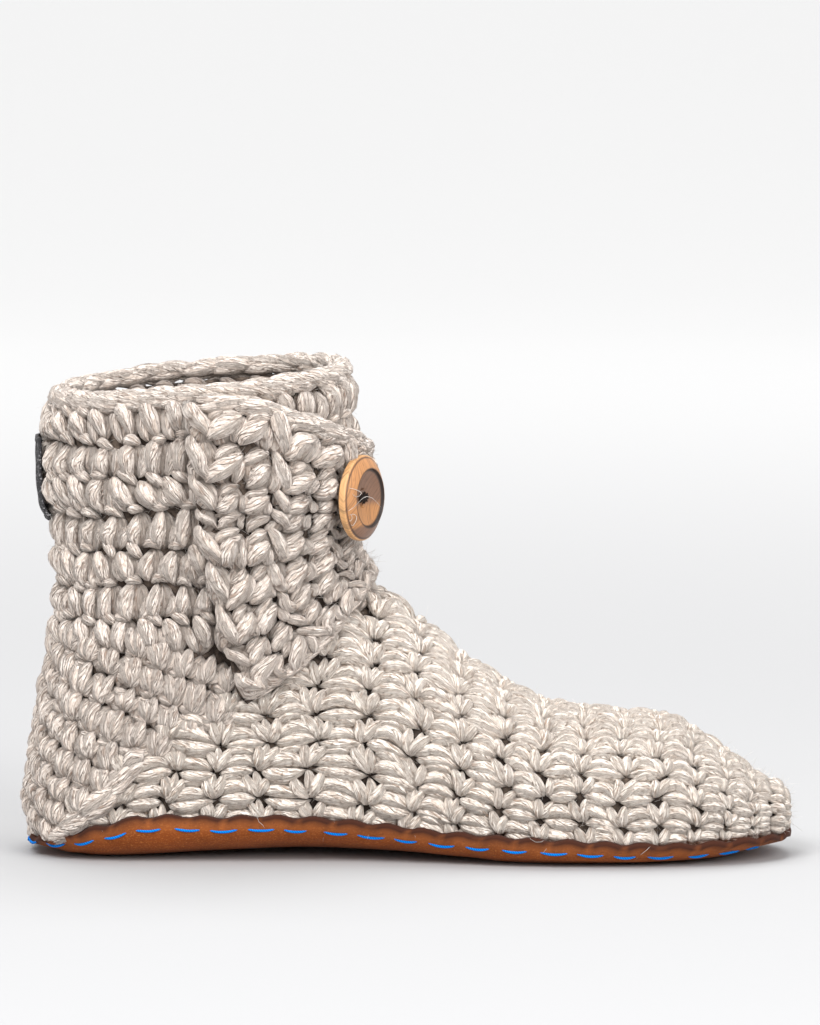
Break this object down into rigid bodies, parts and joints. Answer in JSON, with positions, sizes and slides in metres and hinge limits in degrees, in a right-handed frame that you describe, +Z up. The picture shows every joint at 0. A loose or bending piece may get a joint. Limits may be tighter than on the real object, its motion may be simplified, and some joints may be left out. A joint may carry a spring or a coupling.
{
  "type": "house slipper",
  "caption": "Ankle-high crocheted wool house slipper for a left foot, with a turned-up suede sole and an ankle flap held by a wooden button.",
  "frame": {"origin": "middle of the heel's flat spot on the floor", "axes": "+X from heel to toe, +Y towards the outer side of the left foot, +Z up"},
  "size_m": [0.2622, 0.1013, 0.1697],
  "materials": {
    "suede": "brushed brown suede with a short nap",
    "felt": "soft wool felt",
    "wool": "bulky crocheted wool, oatmeal, slightly fuzzy",
    "flap_wool": "bulky crocheted wool, greyer oatmeal, slightly fuzzy",
    "tape": "dark woven tape",
    "wood": "turned and lightly oiled wood with a scorched ring"
  },
  "bodies": {
    "root": {"outsole": "suede", "insole": "felt", "upper": "wool", "ankle_flap": "flap_wool", "back_tab": "tape", "button": "wood"}
  },
  "joints": []
}
